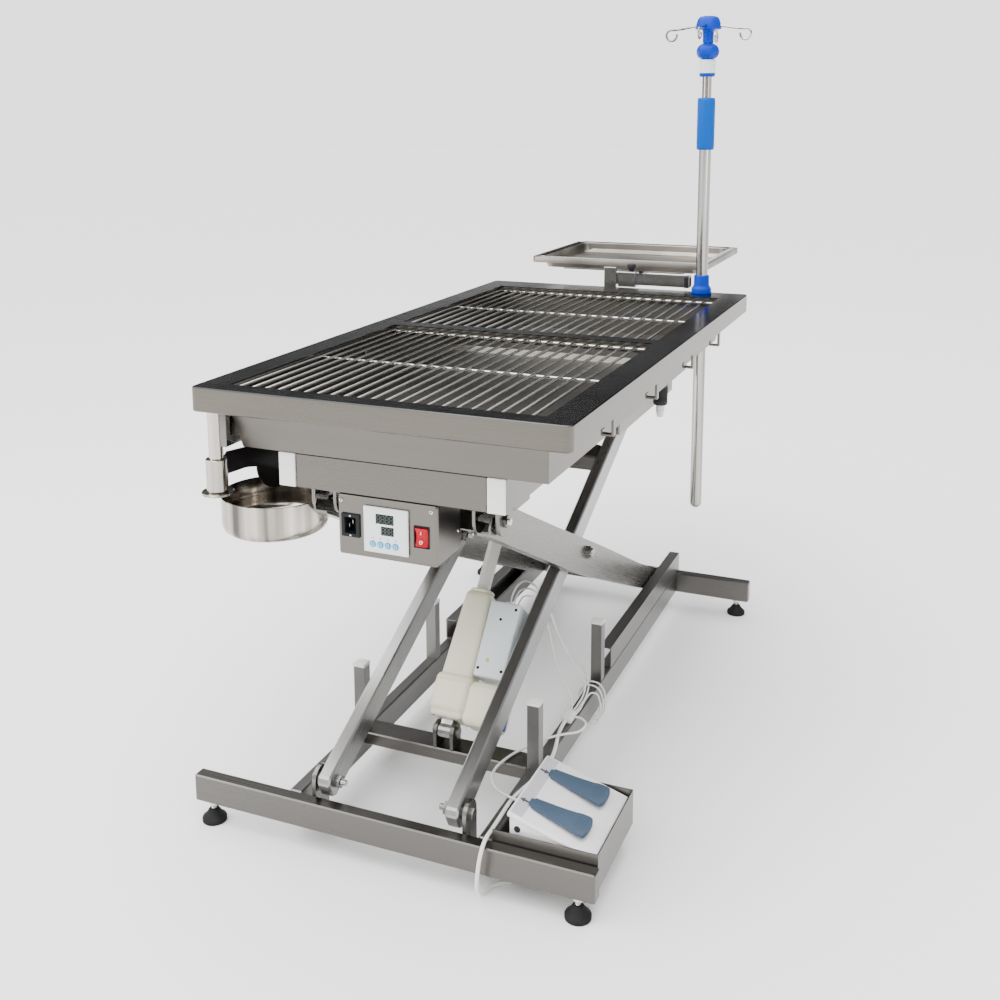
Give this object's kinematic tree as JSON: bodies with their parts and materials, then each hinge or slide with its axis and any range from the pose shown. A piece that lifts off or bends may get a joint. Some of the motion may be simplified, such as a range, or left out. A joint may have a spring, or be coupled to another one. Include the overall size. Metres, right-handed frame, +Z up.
{
  "type": "lifting operating table",
  "caption": "Stainless scissor-lift operating table for small animals with grids over a basin, drip pole, tray, bucket and foot switch.",
  "frame": {"origin": "middle of the footprint on the floor, without the free mains lead", "axes": "+X across the table to the side of the foot switch, +Y from the control box end to the tray end, +Z up"},
  "size_m": [0.6712, 1.615, 1.317],
  "materials": {
    "frame_steel": "brushed stainless steel",
    "table_steel": "fine brushed stainless steel",
    "basin_steel": "polished stainless steel sheet",
    "chromed_tube": "bright tube",
    "black_rubber": "matt black rubber",
    "nylon_roller": "natural nylon",
    "blue_plastic": "satin bright blue",
    "white_plastic": "satin white",
    "black_plastic": "satin black",
    "red_plastic": "gloss red",
    "cream_housing": "fine textured cream",
    "pale_blue_housing": "fine textured pale blue grey",
    "slate_blue_plastic": "matt slate blue",
    "cord_sheath": "matt white sheath"
  },
  "bodies": {
    "base": {"base_near_beam": "frame_steel", "base_far_beam": "frame_steel", "base_rail_left": "frame_steel", "base_rail_right": "frame_steel", "base_mid_beam": "frame_steel", "lower_channel_left": "frame_steel", "lower_channel_right": "frame_steel", "arm_bracket_left": "frame_steel", "arm_bracket_right": "frame_steel", "footswitch_tray": "frame_steel", "footswitch_body": "white_plastic", "pedal_cord": "cord_sheath", "mains_cord": "cord_sheath", "mains_coil": "cord_sheath", "mains_plug": "white_plastic"},
    "foot_near_left": {"levelling_foot_near_left": "black_rubber"},
    "foot_near_right": {"levelling_foot_near_right": "black_rubber"},
    "foot_far_left": {"levelling_foot_far_left": "black_rubber"},
    "foot_far_right": {"levelling_foot_far_right": "black_rubber"},
    "inner_arms": {"arm_a_left": "frame_steel", "arm_a_right": "frame_steel", "arm_a_cross": "frame_steel"},
    "outer_arms": {"arm_b_left": "frame_steel", "arm_b_right": "frame_steel", "arm_b_cross": "frame_steel"},
    "upper_roller_l": {"upper_roller_left": "nylon_roller"},
    "upper_roller_r": {"upper_roller_right": "nylon_roller"},
    "lower_roller_l": {"lower_roller_left": "nylon_roller"},
    "lower_roller_r": {"lower_roller_right": "nylon_roller"},
    "top_frame": {"upper_rail_left": "frame_steel", "upper_rail_right": "frame_steel", "upper_front_plate": "frame_steel", "upper_cross_channel": "frame_steel", "tabletop_rim": "table_steel", "basin": "basin_steel", "iv_socket": "blue_plastic", "tray_bracket": "frame_steel", "bucket_post": "frame_steel", "control_box": "frame_steel", "control_panel": "white_plastic", "power_inlet": "black_plastic"},
    "actuator": {"actuator_housing": "cream_housing", "control_unit": "pale_blue_housing"},
    "rod": {"actuator_rod": "cream_housing"},
    "near_grid": {"grid_near": "table_steel"},
    "far_grid": {"grid_far": "table_steel"},
    "drip_pole": {"iv_outer_pole": "chromed_tube", "iv_grip": "blue_plastic"},
    "drip_mast": {"iv_inner_pole": "chromed_tube"},
    "mast_knob": {"iv_lock_knob": "blue_plastic"},
    "drip_hooks": {"iv_hook_head": "white_plastic"},
    "carrier": {"tray_carrier": "frame_steel"},
    "pan": {"tray_pan": "table_steel"},
    "carrier_knob": {"tray_knob": "black_plastic"},
    "bucket_swing": {"bucket_arm": "frame_steel", "bucket": "table_steel"},
    "drain_outlet": {"drain_cap": "black_plastic"},
    "rocker": {"rocker_switch": "red_plastic"},
    "near_pedal": {"pedal_near": "slate_blue_plastic"},
    "far_pedal": {"pedal_far": "slate_blue_plastic"}
  },
  "joints": [
    {"name": "lift", "type": "hinge", "parent": "base", "child": "inner_arms", "pos_m": [0, -0.7492, 0.1], "axis": [1, 0, 0], "range_deg": [-9.5, 5.5]},
    {"name": "lift_crossing", "type": "hinge", "parent": "inner_arms", "child": "outer_arms", "pos_m": [0, -0.26, 0.33334], "axis": [1, 0, 0], "range_deg": [-11, 19]},
    {"name": "lift_top", "type": "hinge", "parent": "outer_arms", "child": "top_frame", "pos_m": [0, -0.67717, 0.53232], "axis": [1, 0, 0], "range_deg": [-9.5, 5.5]},
    {"name": "actuator_tilt", "type": "hinge", "parent": "base", "child": "actuator", "pos_m": [0, -0.553, 0.104], "axis": [1, 0, 0], "range_deg": [-10.31, 5.99]},
    {"name": "rod_slide", "type": "slide", "parent": "actuator", "child": "rod", "axis": [0, 0.6399, 0.7685], "range_m": [-0.1099, 0.0639]},
    {"name": "upper_roller_l_spin", "type": "hinge", "parent": "inner_arms", "child": "upper_roller_l", "pos_m": [-0.139, 0.15718, 0.53232], "axis": [1, 0, 0], "continuous": true},
    {"name": "lower_roller_l_spin", "type": "hinge", "parent": "outer_arms", "child": "lower_roller_l", "pos_m": [-0.161, 0.2292, 0.1], "axis": [1, 0, 0], "continuous": true},
    {"name": "upper_roller_r_spin", "type": "hinge", "parent": "inner_arms", "child": "upper_roller_r", "pos_m": [0.139, 0.15718, 0.53232], "axis": [1, 0, 0], "continuous": true},
    {"name": "lower_roller_r_spin", "type": "hinge", "parent": "outer_arms", "child": "lower_roller_r", "pos_m": [0.161, 0.2292, 0.1], "axis": [1, 0, 0], "continuous": true},
    {"name": "foot_near_left_screw", "type": "hinge", "parent": "base", "child": "foot_near_left", "pos_m": [-0.308, -0.77905, 0], "axis": [0, 0, 1], "continuous": true},
    {"name": "foot_far_left_screw", "type": "hinge", "parent": "base", "child": "foot_far_left", "pos_m": [-0.308, 0.32955, 0], "axis": [0, 0, 1], "continuous": true},
    {"name": "foot_near_right_screw", "type": "hinge", "parent": "base", "child": "foot_near_right", "pos_m": [0.308, -0.77905, 0], "axis": [0, 0, 1], "continuous": true},
    {"name": "foot_far_right_screw", "type": "hinge", "parent": "base", "child": "foot_far_right", "pos_m": [0.308, 0.32955, 0], "axis": [0, 0, 1], "continuous": true},
    {"name": "near_grid_lift", "type": "slide", "parent": "top_frame", "child": "near_grid", "axis": [0, 0, 1], "range_m": [0, 0.25]},
    {"name": "far_grid_lift", "type": "slide", "parent": "top_frame", "child": "far_grid", "axis": [0, 0, 1], "range_m": [0, 0.25]},
    {"name": "drip_pole_height", "type": "slide", "parent": "top_frame", "child": "drip_pole", "axis": [0, 0, 1], "range_m": [-0.05, 0.35]},
    {"name": "drip_mast_height", "type": "slide", "parent": "drip_pole", "child": "drip_mast", "axis": [0, 0, 1], "range_m": [-0.025, 0.55]},
    {"name": "mast_knob_turn", "type": "hinge", "parent": "drip_mast", "child": "mast_knob", "pos_m": [0.2013, 0.363, 1.243], "axis": [0, 0, 1], "continuous": true},
    {"name": "drip_hooks_turn", "type": "hinge", "parent": "drip_mast", "child": "drip_hooks", "pos_m": [0.2013, 0.363, 1.29], "axis": [0, 0, 1], "continuous": true},
    {"name": "tray_carrier_slide", "type": "slide", "parent": "top_frame", "child": "carrier", "axis": [1, 0, 0], "range_m": [0, 0.105]},
    {"name": "tray_pan_lift", "type": "slide", "parent": "carrier", "child": "pan", "axis": [0, 0, 1], "range_m": [0, 0.25]},
    {"name": "tray_knob_turn", "type": "hinge", "parent": "carrier", "child": "carrier_knob", "pos_m": [0.03, 0.4013, 0.765], "axis": [0, 0, 1], "continuous": true},
    {"name": "bucket_arm_swing", "type": "hinge", "parent": "top_frame", "child": "bucket_swing", "pos_m": [-0.279, -0.77, 0.58], "axis": [0, 0, 1], "range_deg": [0, 120]},
    {"name": "drain_cap_turn", "type": "hinge", "parent": "top_frame", "child": "drain_outlet", "pos_m": [0.228, -0.075, 0.58], "axis": [0, 0, 1], "continuous": true},
    {"name": "rocker_tilt", "type": "hinge", "parent": "top_frame", "child": "rocker", "pos_m": [0.0534, -0.7395, 0.516], "axis": [1, 0, 0], "range_deg": [-12, 0]},
    {"name": "pedal_near_press", "type": "hinge", "parent": "base", "child": "near_pedal", "pos_m": [0.216, -0.722, 0.12322], "axis": [0, 1, 0], "range_deg": [0, 4], "stiffness_Nm_per_rad": 6, "springref_deg": -3.44},
    {"name": "pedal_far_press", "type": "hinge", "parent": "base", "child": "far_pedal", "pos_m": [0.216, -0.638, 0.12322], "axis": [0, 1, 0], "range_deg": [0, 4], "stiffness_Nm_per_rad": 6, "springref_deg": -3.44}
  ],
  "couplings": [
    {"joint": "lift_crossing", "follows": "lift", "ratio": -2},
    {"joint": "lift_top", "follows": "lift", "ratio": 1},
    {"joint": "actuator_tilt", "follows": "lift", "ratio": 1.08},
    {"joint": "rod_slide", "follows": "lift", "m_per_rad": 0.66}
  ]
}
